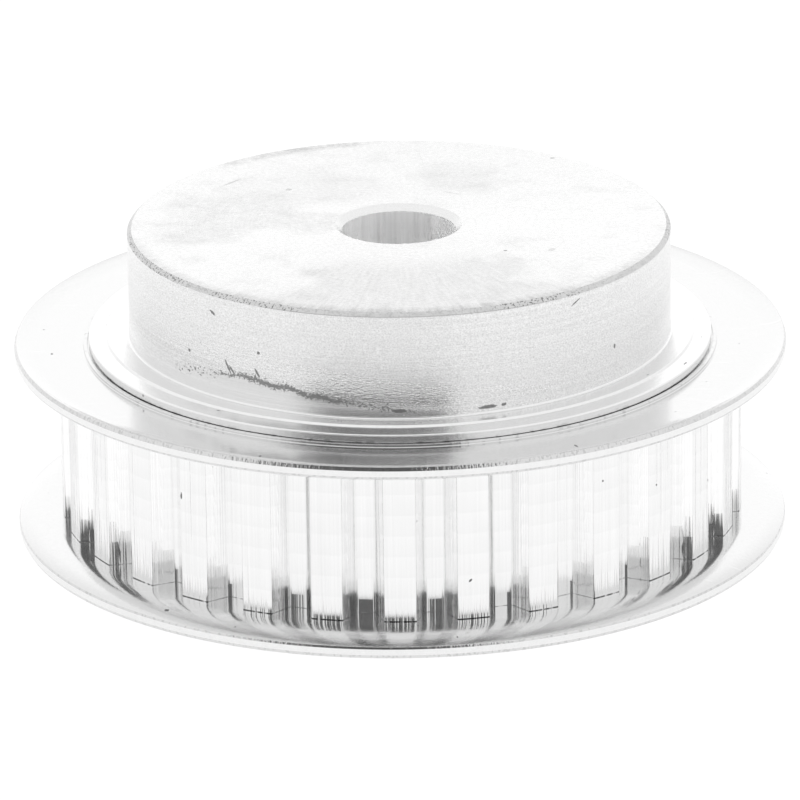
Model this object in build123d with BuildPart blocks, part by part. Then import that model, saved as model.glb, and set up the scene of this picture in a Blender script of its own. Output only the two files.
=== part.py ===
from build123d import *
from math import pi, radians, tan
import os

# Timing belt pulley: XL (5.08 mm pitch) teeth, a flange on each side and a pilot-bored hub.
# Millimetres. Z is the shaft axis, pointing to the hub end. The origin is the axis on the plain end face.

# Belt and teeth
tooth_count = 30
belt_pitch = 5.08
belt_line_above_tips = 0.254
groove_depth = 1.70
groove_floor_width = 1.32
groove_angle = 50.0
groove_root_radius = 0.45
tooth_tip_radius = 0.12
front_tooth_angle = -90.5

# Hub and bore
hub_top = 22.20
hub_radius = 19.00
hub_end_chamfer = 0.30
hub_foot_radius = 0.15
bore_radius = 4.00
bore_mouth_chamfer = 0.45

# Belt track, between the two flanges
track_bottom = 1.80
track_width = 10.85

# Flanges, both pressed from the same sheet: flat, with the outer edge curled away from the belt
flange_thickness = 1.10
flange_rim_radius = 27.10
flange_seat_radius = 21.30
belt_side_flat_radius = 24.70
belt_side_curl_rise = 0.63
belt_side_bevel_width = 0.07
belt_side_bevel_height = 0.15
outer_side_flat_radius = 25.50
outer_side_curl_rise = 0.37
outer_side_bevel_width = 0.13
outer_side_bevel_height = 0.27

# The raised ring that rolling the lip leaves on each flange, round the lip
bead_inner_radius = 21.96
bead_outer_radius = 22.24
bead_height = 0.20
bead_foot_radius = 0.05

# Lips: the spigot edges, rolled outwards over the flanges
lip_radius = 21.86
lip_edge_radius = 0.12
plain_lip_inner_radius = 20.65
plain_lip_drop = 0.27

# Hub side, from the lip inwards: slope, step and shoulder, all measured up from the flange's face
lip_rise = 0.74
step_outer_radius = 20.72
step_foot_rise = 0.86
step_inner_radius = 20.58
step_top_rise = 1.00
shoulder_foot_rise = 0.85

# Worked out from the values above
pitch_radius = tooth_count * belt_pitch / (2 * pi)
tip_radius = pitch_radius - belt_line_above_tips
root_radius = tip_radius - groove_depth
first_groove_angle = front_tooth_angle + 180 / tooth_count
track_top = track_bottom + track_width
plain_flange_face = track_bottom - flange_thickness
hub_flange_face = track_top + flange_thickness
shoulder_foot = hub_flange_face + shoulder_foot_rise
lip_edge = hub_flange_face + lip_rise

# The groove cutter reaches past the tooth tips, so its wide end is wider than the groove's mouth
cutter_height = 1.5 * groove_depth
cutter_width = groove_floor_width + 2 * cutter_height * tan(radians(groove_angle / 2))
cutter_base_angle = 90 - groove_angle / 2


def corner(sketch, radius, height):
    """The corner of a half section that lies nearest to a given radius and height."""
    return sketch.vertices().sort_by_distance((radius, height))[0]


os.makedirs("parts", exist_ok=True)

# Toothed body: rim, web and hub in one turning, with the two rolled lips that hold the flanges
with BuildPart() as toothed_body:
    with BuildSketch(Plane.XZ) as turned_section:
        with BuildLine():
            Polyline(
                (bore_radius, 0),
                (plain_lip_inner_radius, 0),
                (lip_radius, plain_lip_drop),
                (lip_radius, plain_flange_face),
                (flange_seat_radius, plain_flange_face),
                (flange_seat_radius, hub_flange_face),
                (lip_radius, hub_flange_face),
                (lip_radius, lip_edge),
                (step_outer_radius, hub_flange_face + step_foot_rise),
                (step_inner_radius, hub_flange_face + step_top_rise),
                (hub_radius, shoulder_foot),
                (hub_radius, hub_top),
                (bore_radius, hub_top),
                close=True,
            )
        make_face()
        fillet(corner(turned_section, lip_radius, plain_lip_drop), lip_edge_radius)
        fillet(corner(turned_section, lip_radius, lip_edge), lip_edge_radius)
        fillet(corner(turned_section, hub_radius, shoulder_foot), hub_foot_radius)
        chamfer(corner(turned_section, hub_radius, hub_top), hub_end_chamfer)
        chamfer(corner(turned_section, bore_radius, hub_top), bore_mouth_chamfer)
        chamfer(corner(turned_section, bore_radius, 0), bore_mouth_chamfer)
    revolve(axis=Axis.Z)
    with BuildSketch(Plane.XY.offset(track_bottom)) as toothed_ring:
        Circle(tip_radius)
        with PolarLocations(root_radius + cutter_height / 2, tooth_count, start_angle=first_groove_angle):
            Trapezoid(cutter_width, cutter_height, cutter_base_angle, rotation=90, mode=Mode.SUBTRACT)
        fillet(toothed_ring.vertices().group_by(SortBy.DISTANCE)[-1], tooth_tip_radius)
        fillet(toothed_ring.vertices().group_by(SortBy.DISTANCE)[0], groove_root_radius)
        Circle(flange_seat_radius, mode=Mode.SUBTRACT)
    extrude(amount=track_width)
toothed_body.part.label = "toothed_body"
export_step(toothed_body.part, "parts/toothed_body.step")

# Flanges: one pressed ring each side of the teeth, drawn with its belt side at height 0 and
# its outer side up, on a section plane whose up is the way that flange faces
flange_planes = {
    "plain_side_flange": Plane(origin=(0, 0, track_bottom), x_dir=(1, 0, 0), z_dir=(0, 1, 0)),
    "hub_side_flange": Plane(origin=(0, 0, track_top), x_dir=(1, 0, 0), z_dir=(0, -1, 0)),
}
bead_top = flange_thickness + bead_height
belt_side_curl_end = (flange_rim_radius - belt_side_bevel_width, belt_side_curl_rise)
belt_side_rim = (flange_rim_radius, belt_side_curl_rise + belt_side_bevel_height)
crest = (flange_rim_radius - outer_side_bevel_width, flange_thickness + outer_side_curl_rise)
outer_side_rim = (flange_rim_radius, crest[1] - outer_side_bevel_height)

for node, section_plane in flange_planes.items():
    with BuildPart() as flange:
        with BuildSketch(section_plane) as flange_section:
            with BuildLine():
                Line((flange_seat_radius, 0), (belt_side_flat_radius, 0))
                TangentArc((belt_side_flat_radius, 0), belt_side_curl_end, tangent=(1, 0))
                Polyline(belt_side_curl_end, belt_side_rim, outer_side_rim, crest)
                TangentArc((outer_side_flat_radius, flange_thickness), crest, tangent=(1, 0))
                Polyline(
                    (outer_side_flat_radius, flange_thickness),
                    (bead_outer_radius, flange_thickness),
                    (bead_outer_radius, bead_top),
                    (bead_inner_radius, bead_top),
                    (bead_inner_radius, flange_thickness),
                    (flange_seat_radius, flange_thickness),
                    (flange_seat_radius, 0),
                )
            make_face()
            fillet(corner(flange_section, bead_outer_radius, flange_thickness), bead_foot_radius)
        revolve(axis=Axis.Z)
    flange.part.label = node
    export_step(flange.part, f"parts/{node}.step")
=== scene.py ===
import bpy
from math import atan2, cos, hypot, pi, radians, sin, sqrt, tan
from mathutils import Euler, Matrix, Vector


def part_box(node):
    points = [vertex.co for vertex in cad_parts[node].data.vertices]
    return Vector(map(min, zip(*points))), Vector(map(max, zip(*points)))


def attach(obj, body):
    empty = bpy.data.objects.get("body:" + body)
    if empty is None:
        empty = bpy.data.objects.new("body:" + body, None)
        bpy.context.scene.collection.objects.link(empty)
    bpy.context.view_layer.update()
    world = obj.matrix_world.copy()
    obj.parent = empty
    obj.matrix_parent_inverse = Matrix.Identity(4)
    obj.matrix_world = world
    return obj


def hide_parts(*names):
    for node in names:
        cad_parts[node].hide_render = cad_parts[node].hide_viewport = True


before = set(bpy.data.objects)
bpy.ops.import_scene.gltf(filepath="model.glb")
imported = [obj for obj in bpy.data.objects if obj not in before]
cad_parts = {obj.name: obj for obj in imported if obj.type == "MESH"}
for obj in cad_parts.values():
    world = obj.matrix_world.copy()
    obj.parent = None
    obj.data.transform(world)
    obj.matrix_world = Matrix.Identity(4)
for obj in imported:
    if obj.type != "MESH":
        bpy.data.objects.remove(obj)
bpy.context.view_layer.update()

# Timing belt pulley on a white table. Lengths are in millimetres, times MM where Blender takes metres.
MM = 0.001


# ---------------------------------------------------------------- sizes, from the frame
def node_box(node):
    """Lowest and highest corner of a CAD node."""
    low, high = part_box(node)
    return low / MM, high / MM


body_high = node_box("toothed_body")[1]
upper_flange_low, upper_flange_high = node_box("hub_side_flange")
lower_flange_high = node_box("plain_side_flange")[1]

# Teeth
tooth_count = 30
tip_radius = 24.00
groove_depth = 1.70
groove_floor_width = 1.32
groove_half_angle = radians(25)
groove_root_radius = 0.45
tooth_tip_radius = 0.12
tooth_foot_edge = 0.015
front_tooth_angle = radians(-90.5)
root_radius = tip_radius - groove_depth

# Hub and bore
hub_top = body_high.z
hub_radius = 19.00
hub_end_chamfer = 0.30
hub_foot_radius = 0.15
bore_radius = 4.00
bore_mouth_chamfer = 0.45

# Flanges. The rim is no wider than the CAD mesh, whose facets fall a little short of the circle on one side
track_bottom = lower_flange_high.z
track_top = upper_flange_low.z
flange_thickness = 1.10
flange_rim_radius = min(upper_flange_high.x, -upper_flange_low.x)
flange_seat_radius = 21.30
belt_side_flat_radius = 24.70
belt_side_curl_rise = 0.63
belt_side_bevel_width = 0.07
belt_side_bevel_height = 0.15
outer_side_flat_radius = 25.50
outer_side_curl_rise = 0.37
outer_side_bevel_width = 0.13
outer_side_bevel_height = 0.27
bead_inner_radius = 21.96
bead_outer_radius = 22.24
bead_height = 0.20
bead_foot_radius = 0.05
broken_edge = 0.03

# Lips, with the step and shoulder inside the upper one
plain_flange_face = track_bottom - flange_thickness
hub_flange_face = track_top + flange_thickness
lip_radius = 21.86
lip_edge_radius = 0.12
plain_lip_inner_radius = 20.65
plain_lip_drop = 0.27
lip_edge = hub_flange_face + 0.74
step_outer_radius = 20.72
step_foot = hub_flange_face + 0.86
step_inner_radius = 20.58
step_top = hub_flange_face + 1.00
step_edge_radius = 0.05
shoulder_foot = hub_flange_face + 0.85


# ---------------------------------------------------------------- outlines
# How finely each stretch is divided
rounding_steps = 6
curl_steps = 16
groove_floor_steps = 3
groove_root_steps = 5
groove_wall_steps = 4
tooth_tip_steps = 4
land_steps = 5
flange_segments = 720


def arc(centre, radius, start, end, steps):
    """Points on an arc, angles in radians, both ends included."""
    return [
        (
            centre[0] + radius * cos(start + (end - start) * step / steps),
            centre[1] + radius * sin(start + (end - start) * step / steps),
        )
        for step in range(steps + 1)
    ]


def curl(start, end, steps):
    """Points on the arc that leaves start level, outwards, and ends at end, without start itself."""
    run = end[0] - start[0]
    rise = end[1] - start[1]
    radius = (run**2 + rise**2) / (2 * rise)
    turn = 2 * atan2(rise, run)
    centre = (start[0], start[1] + radius)
    return arc(centre, radius, -pi / 2, -pi / 2 + turn, steps)[1:]


def rounded(before, corner, after, radius):
    """The corner of an outline, replaced by an arc that is tangent to its two straight sides."""
    corner = Vector(corner)
    to_before = (Vector(before) - corner).normalized()
    to_after = (Vector(after) - corner).normalized()
    half_angle = to_before.angle(to_after) / 2
    centre = corner + (to_before + to_after).normalized() * radius / sin(half_angle)
    first = corner + to_before * radius / tan(half_angle) - centre
    last = corner + to_after * radius / tan(half_angle) - centre
    start = atan2(first.y, first.x)
    return arc(centre, radius, start, start - first.angle_signed(last), rounding_steps)


def stations(corners):
    """Turn a closed half section into rings. A corner is (radius, height, rounding, material). The material
    is that of the surface from this corner to the next, and a rounding has that of the surface before."""
    rings = []
    for index, (radius, height, rounding, material) in enumerate(corners):
        if rounding == 0:
            rings.append((radius, height, material))
            continue
        before = corners[index - 1]
        after = corners[(index + 1) % len(corners)]
        points = rounded(before[:2], (radius, height), after[:2], rounding)
        rings += [(*point, before[3]) for point in points[:-1]]
        rings.append((*points[-1], material))
    return rings


def spread(first, last, steps):
    """Points evenly spaced from one point to another, without the first."""
    start = Vector(first)
    reach = Vector(last) - start
    return [tuple(start + reach * step / steps) for step in range(1, steps + 1)]


def groove_half_outline():
    """Half of one groove, groove along +X, from the middle of its floor to the tooth tip."""
    flank = Vector((cos(groove_half_angle), sin(groove_half_angle)))
    into_groove = Vector((sin(groove_half_angle), -cos(groove_half_angle)))
    floor_corner = Vector((root_radius, groove_floor_width / 2))

    root_shift = groove_root_radius * (1 - sin(groove_half_angle)) / cos(groove_half_angle)
    root_centre = (root_radius + groove_root_radius, floor_corner.y - root_shift)
    root_arc = arc(root_centre, groove_root_radius, pi, pi / 2 + groove_half_angle, groove_root_steps)

    tip_line = floor_corner - into_groove * tooth_tip_radius
    along = tip_line.dot(flank)
    reach = sqrt(along**2 - tip_line.length_squared + (tip_radius - tooth_tip_radius) ** 2) - along
    tip_centre = tip_line + flank * reach
    tip_end = atan2(tip_centre.y, tip_centre.x)
    tip_arc = arc(tip_centre, tooth_tip_radius, groove_half_angle - pi / 2, tip_end, tooth_tip_steps)

    middle = (root_radius, 0.0)
    floor = [middle] + spread(middle, root_arc[0], groove_floor_steps)[:-1]
    wall = spread(root_arc[-1], tip_arc[0], groove_wall_steps)[:-1]
    return floor + root_arc + wall + tip_arc


def toothed_outline():
    """The whole toothed rim as (angle, radius) pairs."""
    pitch = 2 * pi / tooth_count
    half = [(atan2(y, x), hypot(x, y)) for x, y in groove_half_outline()]
    half += spread((half[-1][0], tip_radius), (pitch / 2, tip_radius), land_steps)
    one_pitch = [(-angle, radius) for angle, radius in reversed(half[1:])] + half[:-1]
    first_groove = front_tooth_angle + pitch / 2
    return [
        (first_groove + tooth * pitch + angle, radius)
        for tooth in range(tooth_count)
        for angle, radius in one_pitch
    ]


# ---------------------------------------------------------------- meshes
# Marks the rings of the body that follow the toothed outline
TEETH = "teeth"

# Sides that meet at more than this keep a hard edge
sharp_angle = radians(32)


def end_normals(points):
    """For each side of a closed anticlockwise outline, the outward shading normals at its two ends.
    Sides that meet at less than the sharp angle share the normal there; a longer side weighs more."""
    count = len(points)
    sides = [Vector(points[(index + 1) % count]) - Vector(points[index]) for index in range(count)]
    normals = [Vector((side.y, -side.x)) for side in sides]
    joints = []
    for index in range(count):
        before = normals[index - 1]
        after = normals[index]
        if before.angle(after) < sharp_angle:
            shared = (before + after).normalized()
            joints.append((shared, shared))
        else:
            joints.append((before.normalized(), after.normalized()))
    return [(joints[index][1], joints[(index + 1) % count][0]) for index in range(count)]


def ring_mesh(name, rings, angles, outline, materials):
    """A closed solid of revolution from an anticlockwise half section. A ring is (radius, height,
    material); a radius written as (TEETH, inset) follows the toothed outline, inset by that much. The
    outline has a radius for each angle, and is empty where the piece is round all over."""
    count = len(angles)
    names = list(materials)
    toothed = [isinstance(ring[0], tuple) for ring in rings]
    section = [
        (tip_radius - radius[1] if is_toothed else radius, height)
        for is_toothed, (radius, height, _) in zip(toothed, rings)
    ]
    spokes = [Vector((cos(a), sin(a))) for a in angles]
    round_ends = list(zip(spokes, spokes[1:] + spokes[:1]))
    tooth_ends = round_ends
    if outline:
        tooth_ends = end_normals([(r * cos(a), r * sin(a)) for r, a in zip(outline, angles)])
    vertices = []
    for is_toothed, (radius, height, _) in zip(toothed, rings):
        radii = [tooth - radius[1] for tooth in outline] if is_toothed else [radius] * count
        vertices += [(r * cos(a) * MM, r * sin(a) * MM, height * MM) for r, a in zip(radii, angles)]
    faces = []
    zones = []
    normals = []
    for band, (low, high) in enumerate(end_normals(section)):
        next_band = (band + 1) % len(rings)
        here = band * count
        there = next_band * count
        ends = tooth_ends if toothed[band] or toothed[next_band] else round_ends
        for step, (first, last) in enumerate(ends):
            onward = (step + 1) % count
            faces.append((here + step, here + onward, there + onward, there + step))
            zones.append(names.index(rings[band][2]))
            for around, across in ((first, low), (last, low), (last, high), (first, high)):
                normals.append((around.x * across.x, around.y * across.x, across.y))
    mesh = bpy.data.meshes.new(name)
    mesh.from_pydata(vertices, [], faces)
    mesh.polygons.foreach_set("material_index", zones)
    mesh.polygons.foreach_set("use_smooth", [True] * len(faces))
    for material in materials.values():
        mesh.materials.append(material)
    mesh.set_sharp_from_angle(angle=sharp_angle)
    mesh.normals_split_custom_set(normals)
    piece = bpy.data.objects.new(name, mesh)
    bpy.context.scene.collection.objects.link(piece)
    return piece


# ---------------------------------------------------------------- materials
class Metal:
    """One metal surface, with short ways to add the nodes of its pattern. Lengths are in millimetres;
    a bearing is in degrees round the axis, 0 at the front and growing to the right."""

    def __init__(self, name, roughness, grain=0.0, grain_turn=0.0):
        self.material = bpy.data.materials.new(name)
        self.material.use_nodes = True
        self.nodes = self.material.node_tree.nodes
        self.links = self.material.node_tree.links
        self.shader = self.nodes["Principled BSDF"]
        self.shader.inputs["Metallic"].default_value = 1.0
        self.shader.inputs["Roughness"].default_value = roughness
        if grain:
            self.shader.inputs["Anisotropic"].default_value = grain
            self.shader.inputs["Anisotropic Rotation"].default_value = grain_turn
            tangent = self.nodes.new("ShaderNodeTangent")
            tangent.direction_type = "RADIAL"
            tangent.axis = "Z"
            self.links.new(tangent.outputs[0], self.shader.inputs["Tangent"])
        coordinates = self.nodes.new("ShaderNodeTexCoord")
        scale = self.nodes.new("ShaderNodeVectorMath")
        scale.operation = "SCALE"
        scale.inputs["Scale"].default_value = 1 / MM
        self.links.new(coordinates.outputs["Object"], scale.inputs[0])
        self.place = scale.outputs[0]
        split = self.nodes.new("ShaderNodeSeparateXYZ")
        self.links.new(self.place, split.inputs[0])
        self.x, self.y, self.z = split.outputs
        square = self.add(self.times(self.x, self.x), self.times(self.y, self.y))
        self.radius = self.maths("POWER", square, 0.5)
        self.bearing = self.maths("DEGREES", self.maths("ARCTAN2", self.x, self.times(self.y, -1)))

    def put(self, value, socket):
        """Link a socket, or set a plain number."""
        if isinstance(value, (int, float)):
            socket.default_value = value
        else:
            self.links.new(value, socket)

    def maths(self, operation, *values):
        """One Math node, fed with sockets or plain numbers."""
        node = self.nodes.new("ShaderNodeMath")
        node.operation = operation
        for value, socket in zip(values, node.inputs):
            self.put(value, socket)
        return node.outputs[0]

    def add(self, first, *others):
        for other in others:
            first = self.maths("ADD", first, other)
        return first

    def times(self, first, *others):
        for other in others:
            first = self.maths("MULTIPLY", first, other)
        return first

    def fade(self, value, low, high, out_low=0.0, out_high=1.0):
        """Smooth step from out_low at low to out_high at high."""
        node = self.nodes.new("ShaderNodeMapRange")
        node.interpolation_type = "SMOOTHSTEP"
        for item, socket in zip((value, low, high, out_low, out_high), node.inputs):
            self.put(item, socket)
        return node.outputs["Result"]

    def within(self, value, low, high, soft):
        """1 between low and high, falling to 0 over the soft distance outside them."""
        rising = self.fade(value, low - soft, low)
        falling = self.fade(value, high, high + soft, 1.0, 0.0)
        return self.times(rising, falling)

    def noise(self, cells_x, cells_y, cells_z, detail=0.0, source=None):
        """Noise from 0 to 1, with the number of cells per millimetre along each axis."""
        mapping = self.nodes.new("ShaderNodeMapping")
        mapping.inputs["Scale"].default_value = (cells_x, cells_y, cells_z)
        self.links.new(source or self.place, mapping.inputs["Vector"])
        node = self.nodes.new("ShaderNodeTexNoise")
        node.inputs["Scale"].default_value = 1.0
        node.inputs["Detail"].default_value = detail
        self.links.new(mapping.outputs[0], node.inputs["Vector"])
        return node.outputs["Fac"]

    def tool_path(self):
        """Position for tool marks: round the axis as it is, and along the tool's travel as height."""
        node = self.nodes.new("ShaderNodeCombineXYZ")
        self.put(self.x, node.inputs[0])
        self.put(self.y, node.inputs[1])
        self.put(self.add(self.z, self.radius), node.inputs[2])
        return node.outputs[0]

    def polar(self):
        """Position as bearing in degrees, radius and height, for patterns that run round or outwards."""
        node = self.nodes.new("ShaderNodeCombineXYZ")
        for value, socket in zip((self.bearing, self.radius, self.z), node.inputs):
            self.put(value, socket)
        return node.outputs[0]

    def dots(self, cells, share, size):
        """Scattered round dots: cells per millimetre, the share of cells with a dot, and its radius."""
        node = self.nodes.new("ShaderNodeTexVoronoi")
        node.inputs["Scale"].default_value = cells
        self.links.new(self.place, node.inputs["Vector"])
        pick = self.nodes.new("ShaderNodeSeparateColor")
        self.links.new(node.outputs["Color"], pick.inputs[0])
        chosen = self.fade(pick.outputs[0], 1 - share, 1 - share + 0.001)
        reach = size * cells
        raggedness = 0.6 * reach
        solid_to = 0.8 * reach
        gone_by = 1.5 * reach
        ragged = self.add(node.outputs["Distance"], self.times(self.noise(9, 9, 9), raggedness))
        return self.times(chosen, self.fade(ragged, solid_to, gone_by, 1.0, 0.0))

    def mark(self, bearing, radius, height, long, wide, lean=0.0):
        """One small ragged mark. It is long along its lean, in degrees from level, and wide across it."""
        turn = radians(bearing)
        spot = Vector((radius * sin(turn), -radius * cos(turn), height))
        mapping = self.nodes.new("ShaderNodeMapping")
        mapping.vector_type = "TEXTURE"
        mapping.inputs["Location"].default_value = spot
        mapping.inputs["Rotation"].default_value = (0.0, -radians(lean), turn)
        mapping.inputs["Scale"].default_value = (long, wide, wide)
        self.links.new(self.place, mapping.inputs["Vector"])
        length = self.nodes.new("ShaderNodeVectorMath")
        length.operation = "LENGTH"
        self.links.new(mapping.outputs[0], length.inputs[0])
        solid_to = 1.15
        gone_by = 1.6
        ragged = self.add(length.outputs["Value"], self.noise(7, 7, 7, 2))
        return self.fade(ragged, solid_to, gone_by, 1.0, 0.0)

    def most(self, *masks):
        """The strongest of several masks."""
        strongest = masks[0]
        for mask in masks[1:]:
            strongest = self.maths("MAXIMUM", strongest, mask)
        return strongest

    def paint(self, clean, darkest=None, darkening=None):
        """Grey of the metal, going from the clean grey to the darker one by a mask of dirt and marks, which
        on some surfaces also holds painted shade.
        """
        grey = clean if darkening is None else self.fade(darkening, 0.0, 1.0, clean, darkest)
        self.links.new(grey, self.shader.inputs["Base Color"])

    def rough(self, value):
        """A roughness that changes over the surface."""
        self.links.new(value, self.shader.inputs["Roughness"])

    def relief(self, *heights):
        """Small relief: the sum of the heights, each in millimetres."""
        bump = self.nodes.new("ShaderNodeBump")
        bump.inputs["Strength"].default_value = 1.0
        bump.inputs["Distance"].default_value = MM
        self.links.new(self.add(*heights), bump.inputs["Height"])
        self.links.new(bump.outputs[0], self.shader.inputs["Normal"])


def hub_side_metal():
    """Hub side: turned, grainy above and smooth below a smeared scuff that runs round the front."""
    metal = Metal("turned_hub_side", 0.16, grain=0.85, grain_turn=0.25)

    # The scuff's middle line rises from the left to its crown and falls from there to the front
    left_end, crown, front_end = -41, -35, 2
    crown_height = 16.72
    left_slope, right_slope = -0.053, -0.043
    left_of_crown = metal.maths("MAXIMUM", metal.add(crown, metal.times(metal.bearing, -1)), 0)
    right_of_crown = metal.maths("MAXIMUM", metal.add(metal.bearing, -crown), 0)
    wobble = metal.times(metal.add(metal.noise(1.0, 1.0, 0.2, 2), -0.5), 0.6)
    scuff_line = metal.add(
        crown_height,
        metal.times(left_of_crown, left_slope),
        metal.times(right_of_crown, right_slope),
        wobble,
    )
    above_line = metal.add(metal.z, metal.times(scuff_line, -1))

    # The scuff itself, widest left of the front, and the torn bits about it
    broken = metal.noise(7, 7, 11, 6)
    thick_stretch = metal.within(metal.bearing, -31, -17, 9)
    width = metal.add(metal.times(thick_stretch, 0.15), broken, -0.46)
    off_scuff = metal.add(metal.maths("ABSOLUTE", above_line), metal.times(width, -1))
    whole_stretch = metal.within(metal.bearing, left_end, front_end, 2)
    scuff = metal.times(whole_stretch, metal.fade(off_scuff, 0.05, -0.07))
    tatters = metal.fade(metal.noise(4.5, 4.5, 6.5, 5), 0.56, 0.62)
    left_stretch = metal.within(metal.bearing, -52, -40, 4)
    front_stretch = metal.within(metal.bearing, -34, -2, 5)
    left_tatters = metal.times(left_stretch, metal.within(above_line, -0.15, 0.25, 0.35), tatters)
    front_tatters = metal.times(front_stretch, metal.within(above_line, -0.2, 0.3, 0.25), tatters)
    marks = metal.most(
        scuff,
        left_tatters,
        metal.times(front_tatters, 0.8),
        metal.mark(-38.3, hub_radius, 17.1, 0.60, 0.10, lean=-62),
        metal.mark(-37.2, hub_radius, 16.9, 0.45, 0.09, lean=-50),
        metal.mark(-30.9, hub_radius, 17.1, 0.42, 0.09, lean=-60),
        metal.mark(-0.3, hub_radius, 15.18, 0.62, 0.17),
        metal.mark(18.2, hub_radius, 15.08, 0.75, 0.14),
        metal.mark(21.6, hub_radius, 15.10, 0.22, 0.12),
        metal.mark(-42.2, hub_radius, 20.7, 0.28, 0.12, lean=-30),
        metal.mark(-30.5, hub_radius, 18.55, 0.14, 0.14),
        metal.mark(50.7, hub_radius, 17.2, 0.12, 0.18),
        metal.mark(-49.5, hub_radius, 17.4, 0.14, 0.12),
        metal.mark(39.0, hub_radius, 21.35, 0.50, 0.06, lean=28),
    )
    specks = metal.most(metal.dots(1.1, 0.30, 0.07), metal.times(metal.dots(2.3, 0.10, 0.05), 0.8))

    # Turning lines and grain. The grain and the roughness grow with height above the scuff
    lines = metal.noise(0.04, 0.04, 8.0, 3)
    grain = metal.noise(3.0, 3.0, 11, 2)
    sparkle = metal.noise(9, 9, 11, 1)
    grainy = metal.fade(above_line, -0.10, 0.25)
    high = metal.fade(above_line, 0.3, 2.4)
    foot = metal.fade(metal.z, shoulder_foot + 1.1, shoulder_foot + 0.7)

    mottle = metal.times(metal.add(sparkle, -0.5), metal.add(0.10, metal.times(grainy, 0.42)))
    clean = metal.add(0.745, metal.times(lines, 0.16), mottle)
    smear = metal.add(0.16, metal.times(broken, 0.22))
    metal.paint(clean, smear, metal.maths("MAXIMUM", marks, metal.times(specks, 0.45)))
    metal.rough(
        metal.add(
            0.14,
            metal.times(grainy, 0.02),
            metal.times(high, 0.12),
            metal.times(marks, 0.2),
            metal.times(foot, 0.08),
        )
    )
    grain_depth = metal.add(0.006, metal.times(grainy, 0.006), metal.times(high, 0.014))
    metal.relief(
        metal.times(lines, 0.005),
        metal.times(grain, grain_depth),
        metal.times(sparkle, grainy, 0.004),
    )
    return metal.material


def face_metal():
    """End faces: fine turning rings, near-white, with painted shade in a fan at the front, smudges and
    specks.
    """
    metal = Metal("turned_end_face", 0.24, grain=0.6, grain_turn=0.25)
    rings = metal.noise(0.05, 0.05, 7.0, 5, source=metal.tool_path())
    spokes = metal.noise(0.9, 0.35, 0.0, 3, source=metal.polar())
    blotches = metal.noise(0.35, 0.35, 0.35, 5)
    smudges = metal.fade(blotches, 0.52, 0.70)
    grain = metal.noise(4, 4, 4, 5)

    # Bearing and radius made to wander, so that the patches have uneven outlines
    wander = metal.add(metal.noise(0.22, 0.22, 0.22, 3), -0.5)
    bearing = metal.add(metal.bearing, metal.times(wander, 55))
    radius = metal.add(metal.radius, metal.times(wander, 8))

    # Worn and stained places, and painted shade at the front, each as the grey that it takes away
    # The fan over the front is painted shade
    fan = metal.times(metal.within(bearing, -22, 34, 16), metal.fade(metal.radius, 6.5, 11.5))
    front_fan_shade = metal.times(fan, metal.add(0.02, metal.times(spokes, 0.15)))
    worn_edge = metal.times(
        metal.within(bearing, -70, 60, 20),
        metal.fade(metal.radius, 17.6, 18.6),
        spokes,
        0.26,
    )
    swirl = metal.times(
        metal.within(bearing, -112, -86, 16),
        metal.within(radius, 5, 15, 3),
        rings,
        metal.noise(1.5, 1.5, 1.5, 2),
        0.34,
    )
    left_patch = metal.times(
        metal.within(bearing, -160, -124, 14),
        metal.within(radius, 8, 12, 3),
        blotches,
        0.11,
    )
    right_patch = metal.times(
        metal.within(bearing, 142, 160, 14),
        metal.within(radius, 10, 12, 3),
        blotches,
        0.11,
    )
    stain = metal.times(
        metal.within(bearing, -164, -146, 12),
        metal.within(metal.radius, 18.2, 19.0, 0.9),
        metal.fade(metal.noise(2.2, 2.2, 2.2, 5), 0.30, 0.65, 0.08, 0.24),
    )
    loss = metal.add(
        metal.times(smudges, 0.05),
        front_fan_shade,
        worn_edge,
        swirl,
        left_patch,
        right_patch,
        stain,
        metal.times(grain, 0.26),
    )

    # Small dark things: specks, hair scratches and faint closed loops
    level = metal.noise(0.16, 0.16, 0.16, 1)
    loops = metal.fade(metal.maths("ABSOLUTE", metal.add(level, -0.42)), 0.006, 0.001)
    hairs = metal.fade(metal.noise(5.0, 0.25, 1.0, 1), 0.70, 0.74)
    specks = metal.most(
        metal.times(metal.dots(0.9, 0.12, 0.07), 0.5),
        metal.times(loops, 0.18),
        metal.times(hairs, 0.10),
        metal.mark(50, 9.6, hub_top, 0.14, 0.14),
        metal.times(metal.mark(60, 12.2, hub_top, 0.40, 0.25), 0.4),
        metal.times(metal.mark(-129, 15.2, hub_top, 1.1, 0.12), 0.5),
        metal.times(metal.mark(-135, 11.0, hub_top, 0.30, 0.22), 0.5),
        metal.times(metal.mark(142, 18.0, hub_top, 0.20, 0.20), 0.6),
        metal.times(metal.mark(150, 7.6, hub_top, 0.9, 0.08), 0.4),
    )
    clean = metal.add(0.94, metal.times(loss, -1), metal.times(rings, 0.03), metal.times(spokes, -0.05))
    metal.paint(clean, 0.30, specks)
    metal.relief(metal.times(rings, 0.005), metal.times(grain, 0.006))
    return metal.material


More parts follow.
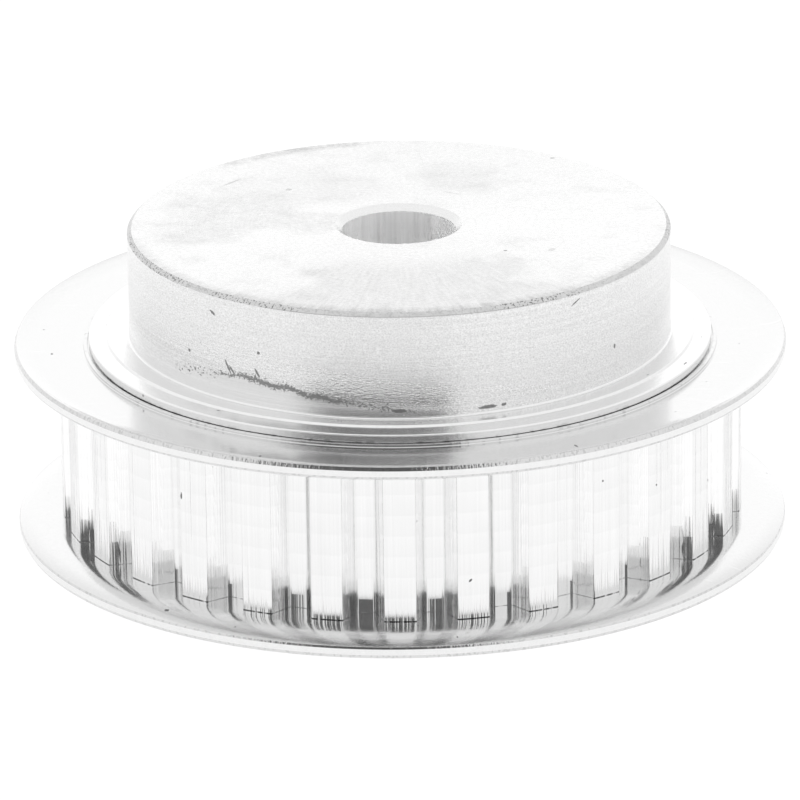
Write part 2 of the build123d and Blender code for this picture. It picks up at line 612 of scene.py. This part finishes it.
def chamfer_metal():
    """The hub's edge: a worn grey chamfer with dents and dirt, and a painted shade line along its foot at
    the front.
    """
    metal = Metal("worn_hub_edge", 0.42)
    wear = metal.noise(1.4, 1.4, 1.4, 4)
    dark_marks = metal.fade(metal.noise(7, 7, 7, 3), 0.54, 0.62)
    bad_places = metal.fade(metal.noise(0.12, 0.12, 0.12, 1), 0.48, 0.60)
    darkening = metal.times(dark_marks, metal.add(0.22, metal.times(bad_places, 0.65)))
    chamfer_foot = hub_top - hub_end_chamfer
    # A thin line of painted shade along the foot of the chamfer, over the front only
    front = metal.within(metal.bearing, -22, 26, 16)
    front_shade_line = metal.times(front, metal.within(metal.z, chamfer_foot, chamfer_foot + 0.03, 0.02))
    clean = metal.add(0.60, metal.times(wear, 0.16))
    metal.paint(clean, 0.26, metal.maths("MAXIMUM", darkening, metal.times(front_shade_line, 0.5)))
    metal.relief(metal.times(wear, 0.06), metal.times(dark_marks, -0.02))
    return metal.material


def mouth_metal():
    """Mouth of the bore: a bright countersink with fine rings."""
    metal = Metal("countersunk_mouth", 0.25)
    rings = metal.noise(0.05, 0.05, 7.0, 2, source=metal.tool_path())
    grain = metal.noise(5, 5, 5, 2)
    metal.paint(metal.add(0.80, metal.times(rings, 0.05), metal.times(grain, 0.08)))
    metal.relief(metal.times(rings, 0.004), metal.times(grain, 0.006))
    return metal.material


def lip_metal():
    """Shoulder and rolled lip: bright tool rings, nicks, and darker patches next to the flange."""
    metal = Metal("rolled_lip", 0.22)
    rings = metal.noise(0.05, 0.05, 6.0, 2, source=metal.tool_path())
    grain = metal.noise(4, 4, 4, 2)
    specks = metal.most(
        metal.dots(0.9, 0.20, 0.06),
        metal.mark(-36.5, 20.9, 14.6, 0.22, 0.07, lean=20),
        metal.mark(-54.0, 21.75, 14.3, 0.20, 0.15),
        metal.mark(57.0, 20.3, 14.7, 0.18, 0.07),
        metal.mark(67.0, 21.4, 14.55, 0.30, 0.07),
        metal.mark(-2.5, 20.1, 14.7, 0.12, 0.07),
    )
    clean = metal.add(0.81, metal.times(rings, 0.05), metal.times(grain, 0.07))
    # Darker patches on the lip towards the flange
    by_flange = metal.within(metal.z, hub_flange_face, hub_flange_face + 0.1, 0.4)
    dark_by_flange = metal.times(by_flange, metal.fade(metal.noise(1.2, 1.2, 1.2, 3), 0.45, 0.65), 0.6)
    metal.paint(clean, 0.30, metal.maths("MAXIMUM", specks, dark_by_flange))
    metal.relief(metal.times(rings, 0.004), metal.times(grain, 0.006))
    return metal.material


def tooth_metal():
    """Teeth: fine upright hobbing streaks, a feed mark every 1.5 mm, a few pits, dirt and painted shade at
    the foot, painted shade low on the groove walls and painted light above it.
    """
    metal = Metal("hobbed_teeth", 0.13)
    streaks = metal.noise(8.5, 8.5, 0.10)
    broad = metal.noise(1.8, 1.8, 0.06, 1)
    on_land = metal.fade(metal.radius, tip_radius - 0.10, tip_radius - 0.03)
    on_flank = metal.within(metal.radius, root_radius + 0.35, tip_radius - 0.15, 0.15)

    # Each turn of the hob leaves a shallow hollow, half a turn out of step on the floor of the groove
    feed = 1.5
    first_turn = 0.67
    half_turn_on_floor = metal.fade(metal.radius, root_radius + 0.9, root_radius + 1.1, 0.5, 0.0)
    turn = metal.maths("FRACT", metal.add(metal.times(metal.z, 1 / feed), first_turn, half_turn_on_floor))
    scallop = metal.times(turn, metal.add(1.0, metal.times(turn, -1)))

    # Dirt and painted shade in the crease at the foot of the teeth, by the lower flange
    foot = metal.fade(metal.z, track_bottom + 0.10, track_bottom + 0.02)
    foot_dirt_and_shade = metal.times(
        foot,
        metal.fade(metal.noise(3, 3, 3, 3), 0.30, 0.52),
        metal.add(0.35, metal.times(on_land, 0.55)),
    )
    dark_marks = metal.most(
        metal.dots(0.8, 0.22, 0.09),
        metal.mark(17.3, root_radius + 0.3, 4.35, 0.13, 0.20),
        metal.mark(11.0, tip_radius, 4.6, 0.16, 0.08, lean=40),
        metal.mark(-38.8, tip_radius, 9.15, 0.08, 0.28),
        metal.mark(-29.7, root_radius + 0.8, 10.4, 0.05, 0.40),
        metal.mark(-6.0, root_radius + 0.2, 2.9, 0.07, 0.07),
        foot_dirt_and_shade,
    )
    tone = metal.times(metal.noise(0.5, 0.5, 0.25, 1), 0.05)
    # Painted shade low on the groove walls and painted light higher up, all round
    flank_shade_and_light = metal.times(on_flank, metal.fade(metal.z, 3.2, 3.6, -0.06, 0.08))
    clean = metal.add(0.81, metal.times(streaks, 0.06), tone, metal.times(turn, 0.03), flank_shade_and_light)
    metal.paint(clean, 0.14, dark_marks)
    metal.relief(
        metal.times(streaks, metal.add(0.02, metal.times(on_land, 0.040))),
        metal.times(broad, 0.02),
        metal.times(scallop, -0.03),
    )
    return metal.material


def bore_metal():
    """Bore: drilled and reamed, dull, with upright scoring."""
    metal = Metal("reamed_bore", 0.75)
    score = metal.noise(3.0, 3.0, 0.08, 3)
    rings = metal.noise(0.05, 0.05, 4, 2)
    metal.paint(metal.add(0.74, metal.times(score, 0.42), metal.times(rings, 0.04)))
    metal.relief(metal.times(score, 0.03), metal.times(rings, 0.012))
    return metal.material


def flange_metal():
    """Flange faces: polished sheet with a fine orange-peel grain, hairline scratches and specks."""
    metal = Metal("pressed_sheet", 0.14)
    peel = metal.noise(4.5, 4.5, 4.5, 2)
    waves = metal.noise(0.8, 0.8, 0.8, 1)
    scratches = metal.fade(metal.noise(0.25, 6.0, 1.0, 1), 0.72, 0.76)
    specks = metal.most(
        metal.dots(0.8, 0.16, 0.08),
        metal.mark(27.8, 25.25, hub_flange_face, 0.10, 0.30),
        metal.mark(-22.0, 25.4, hub_flange_face, 0.08, 0.20),
        metal.mark(-84.0, 24.5, hub_flange_face, 0.20, 0.10),
        metal.mark(-38.0, 26.2, track_bottom - 0.3, 0.22, 0.14),
    )
    clean = metal.add(0.76, metal.times(peel, 0.06), metal.times(scratches, 0.05))
    metal.paint(clean, 0.22, specks)
    metal.relief(metal.times(peel, 0.0035), metal.times(waves, 0.004))
    return metal.material


def rim_metal():
    """Flange rim: sheared edge, plain and light with a fine grain."""
    metal = Metal("sheared_rim", 0.26)
    grain = metal.noise(6, 6, 6, 2)
    worn = metal.noise(1.2, 1.2, 0.8, 2)
    metal.paint(metal.add(0.79, metal.times(grain, 0.07), metal.times(worn, 0.05)))
    metal.relief(metal.times(grain, 0.006))
    return metal.material


def torn_corner_metal():
    """Corners of the flange rim, tumbled, with fine short upright tears."""
    metal = Metal("torn_rim_corner", 0.12)
    tears = metal.noise(6.0, 6.0, 0.5, 2)
    torn = metal.fade(tears, 0.50, 0.64)
    metal.paint(0.72, 0.60, torn)
    metal.relief(metal.times(tears, 0.035))
    return metal.material


def bead_metal():
    """The burnished ring round the lip, with a few faint marks and darker patches of painted shade."""
    metal = Metal("burnished_bead", 0.14)
    dents = metal.noise(2.6, 2.6, 0.5, 2)
    # The darker patches are painted shade
    darkening = metal.fade(metal.noise(2.5, 2.5, 2.5, 3), 0.56, 0.70)
    metal.paint(0.78, 0.64, darkening)
    metal.relief(metal.times(dents, 0.012))
    return metal.material


# ---------------------------------------------------------------- pieces
def build_body():
    """The turned and hobbed body, with its two rolled lips."""
    outline = toothed_outline()
    materials = {
        "bore": bore_metal(),
        "mouth": mouth_metal(),
        "face": face_metal(),
        "edge": chamfer_metal(),
        "side": hub_side_metal(),
        "lip": lip_metal(),
        "teeth": tooth_metal(),
    }
    corners = [
        (bore_radius, bore_mouth_chamfer, 0, "mouth"),
        (bore_radius + bore_mouth_chamfer, 0.0, 0, "face"),
        (plain_lip_inner_radius, 0.0, 0, "lip"),
        (lip_radius, plain_lip_drop, lip_edge_radius, "lip"),
        (lip_radius, plain_flange_face, 0, "lip"),
        (flange_seat_radius, plain_flange_face, 0, "lip"),
        (flange_seat_radius, track_bottom, 0, "teeth"),
        ((TEETH, tooth_foot_edge), track_bottom, 0, "teeth"),
        ((TEETH, 0.0), track_bottom + tooth_foot_edge, 0, "teeth"),
        ((TEETH, 0.0), track_top, 0, "teeth"),
        (flange_seat_radius, track_top, 0, "lip"),
        (flange_seat_radius, hub_flange_face, 0, "lip"),
        (lip_radius, hub_flange_face, 0, "lip"),
        (lip_radius, lip_edge, lip_edge_radius, "lip"),
        (step_outer_radius, step_foot, step_edge_radius, "lip"),
        (step_inner_radius, step_top, step_edge_radius, "lip"),
        (hub_radius, shoulder_foot, hub_foot_radius, "side"),
        (hub_radius, hub_top - hub_end_chamfer, 0, "edge"),
        (hub_radius - hub_end_chamfer, hub_top, broken_edge, "face"),
        (bore_radius + bore_mouth_chamfer, hub_top, 0, "mouth"),
        (bore_radius, hub_top - bore_mouth_chamfer, 0, "bore"),
    ]
    angles = [angle for angle, _ in outline]
    radii = [radius for _, radius in outline]
    piece = ring_mesh("pulley_body", stations(corners), angles, radii, materials)
    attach(piece, "root")
    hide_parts("toothed_body")


def build_flange(name, node, belt_face, outward, materials):
    """A flange whose belt side is at height belt_face and whose outer side faces up (1) or down (-1)."""
    belt_curl_end = (flange_rim_radius - belt_side_bevel_width, belt_side_curl_rise)
    crest = (flange_rim_radius - outer_side_bevel_width, flange_thickness + outer_side_curl_rise)
    belt_curl = curl((belt_side_flat_radius, 0.0), belt_curl_end, curl_steps)
    outer_curl = curl((outer_side_flat_radius, flange_thickness), crest, curl_steps)
    bead_top = flange_thickness + bead_height
    corners = [
        (flange_seat_radius, 0.0, 0, "sheet"),
        (belt_side_flat_radius, 0.0, 0, "sheet"),
        *[(radius, height, 0, "sheet") for radius, height in belt_curl[:-1]],
        (*belt_curl_end, broken_edge, "corner"),
        (flange_rim_radius, belt_side_curl_rise + belt_side_bevel_height, broken_edge, "rim"),
        (flange_rim_radius, crest[1] - outer_side_bevel_height, broken_edge, "corner"),
        (*crest, broken_edge, "sheet"),
        *[(radius, height, 0, "sheet") for radius, height in reversed(outer_curl[:-1])],
        (outer_side_flat_radius, flange_thickness, 0, "sheet"),
        (bead_outer_radius, flange_thickness, bead_foot_radius, "bead"),
        (bead_outer_radius, bead_top, broken_edge, "bead"),
        (bead_inner_radius, bead_top, broken_edge, "bead"),
        (bead_inner_radius, flange_thickness, 0, "sheet"),
        (flange_seat_radius, flange_thickness, 0, "sheet"),
    ]
    angles = [2 * pi * step / flange_segments for step in range(flange_segments)]
    rings = [(radius, belt_face + outward * height, zone) for radius, height, zone in stations(corners)]
    if outward < 0:
        # Upside down, the section runs clockwise. Turned round, each ring takes the zone of the one before
        zones = [zone for _, _, zone in rings]
        rings = [(ring[0], ring[1], zone) for ring, zone in zip(rings, zones[-1:] + zones[:-1])]
        rings.reverse()
    piece = ring_mesh(name, rings, angles, [], materials)
    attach(piece, "root")
    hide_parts(node)


flange_materials = {
    "sheet": flange_metal(),
    "rim": rim_metal(),
    "corner": torn_corner_metal(),
    "bead": bead_metal(),
}
build_body()
build_flange("upper_flange", "hub_side_flange", track_top, 1, flange_materials)
build_flange("lower_flange", "plain_side_flange", track_bottom, -1, flange_materials)


# ---------------------------------------------------------------- studio
def build_floor():
    """A white, evenly lit table top, in metres."""
    size = 3.0
    grey = 0.10
    glow = 0.94
    mesh = bpy.data.meshes.new("floor")
    corners = [(-size, -size, 0), (size, -size, 0), (size, size, 0), (-size, size, 0)]
    mesh.from_pydata(corners, [], [(0, 1, 2, 3)])
    material = bpy.data.materials.new("table_top")
    material.use_nodes = True
    shader = material.node_tree.nodes["Principled BSDF"]
    shader.inputs["Base Color"].default_value = (grey, grey, grey, 1)
    shader.inputs["Roughness"].default_value = 0.9
    shader.inputs["Emission Color"].default_value = (1, 1, 1, 1)
    shader.inputs["Emission Strength"].default_value = glow
    mesh.materials.append(material)
    floor = bpy.data.objects.new("floor", mesh)
    bpy.context.scene.collection.objects.link(floor)


def build_world():
    """A soft white studio all round, brighter behind the pulley, with a dark room past the front of the set.
    Azimuth is 0 at the front, on the -Y side, and grows to the right. Angles are in degrees."""
    room_darkness = 0.87
    front_strength = 1.0
    behind_strength = 1.2

    # Each edge fades between its two angles
    room_left = (-52, -28)
    room_right = (20.5, 22.5)
    room_bottom = (11, 16)
    room_top = (42, 48)
    start_of_behind = (138, 164)
    world = bpy.data.worlds.new("studio")
    bpy.context.scene.world = world
    world.use_nodes = True
    nodes = world.node_tree.nodes
    links = world.node_tree.links
    background = nodes["Background"]
    background.inputs["Color"].default_value = (1, 1, 1, 1)
    coordinates = nodes.new("ShaderNodeTexCoord")
    split = nodes.new("ShaderNodeSeparateXYZ")
    links.new(coordinates.outputs["Generated"], split.inputs[0])

    def maths(operation, *values):
        node = nodes.new("ShaderNodeMath")
        node.operation = operation
        for socket, value in zip(node.inputs, values):
            if isinstance(value, (int, float)):
                socket.default_value = value
            else:
                links.new(value, socket)
        return node.outputs[0]

    def fade(value, low, high, out_low, out_high):
        node = nodes.new("ShaderNodeMapRange")
        node.interpolation_type = "SMOOTHSTEP"
        links.new(value, node.inputs["Value"])
        node.inputs["From Min"].default_value = low
        node.inputs["From Max"].default_value = high
        node.inputs["To Min"].default_value = out_low
        node.inputs["To Max"].default_value = out_high
        return node.outputs["Result"]

    azimuth = maths("ARCTAN2", split.outputs["X"], maths("MULTIPLY", split.outputs["Y"], -1.0))
    azimuth = maths("DEGREES", azimuth)
    elevation = maths("DEGREES", maths("ARCSINE", split.outputs["Z"]))
    left_edge = fade(azimuth, *room_left, 0, 1)
    right_edge = fade(azimuth, *room_right, 1, 0)
    bottom_edge = fade(elevation, *room_bottom, 0, 1)
    top_edge = fade(elevation, *room_top, 1, 0)
    across = maths("MULTIPLY", left_edge, right_edge)
    room = maths("MULTIPLY", across, maths("MULTIPLY", bottom_edge, top_edge))
    studio = fade(maths("ABSOLUTE", azimuth), *start_of_behind, front_strength, behind_strength)
    dimming = maths("SUBTRACT", 1.0, maths("MULTIPLY", room, room_darkness))
    strength = maths("MULTIPLY", studio, dimming)
    links.new(strength, background.inputs["Strength"])


def build_camera():
    """Looks along +Y, about 20 degrees down, from just over half a metre away."""
    distance = 519.5
    elevation = radians(20.03)
    roll = radians(-0.72)
    aim = Vector((-0.06, 0.0, 9.06))
    place = aim + distance * Vector((0, -cos(elevation), sin(elevation)))
    data = bpy.data.cameras.new("camera")
    data.sensor_width = 36.0
    data.lens = 331.64
    data.clip_start = 0.05
    data.clip_end = 20.0
    camera = bpy.data.objects.new("camera", data)
    camera.location = place * MM
    turn = Euler((pi / 2 - elevation, 0, 0)).to_matrix() @ Matrix.Rotation(roll, 3, "Z")
    camera.rotation_euler = turn.to_euler()
    bpy.context.scene.collection.objects.link(camera)
    bpy.context.scene.camera = camera


build_floor()
build_world()
build_camera()
bpy.context.scene.view_settings.view_transform = "Standard"
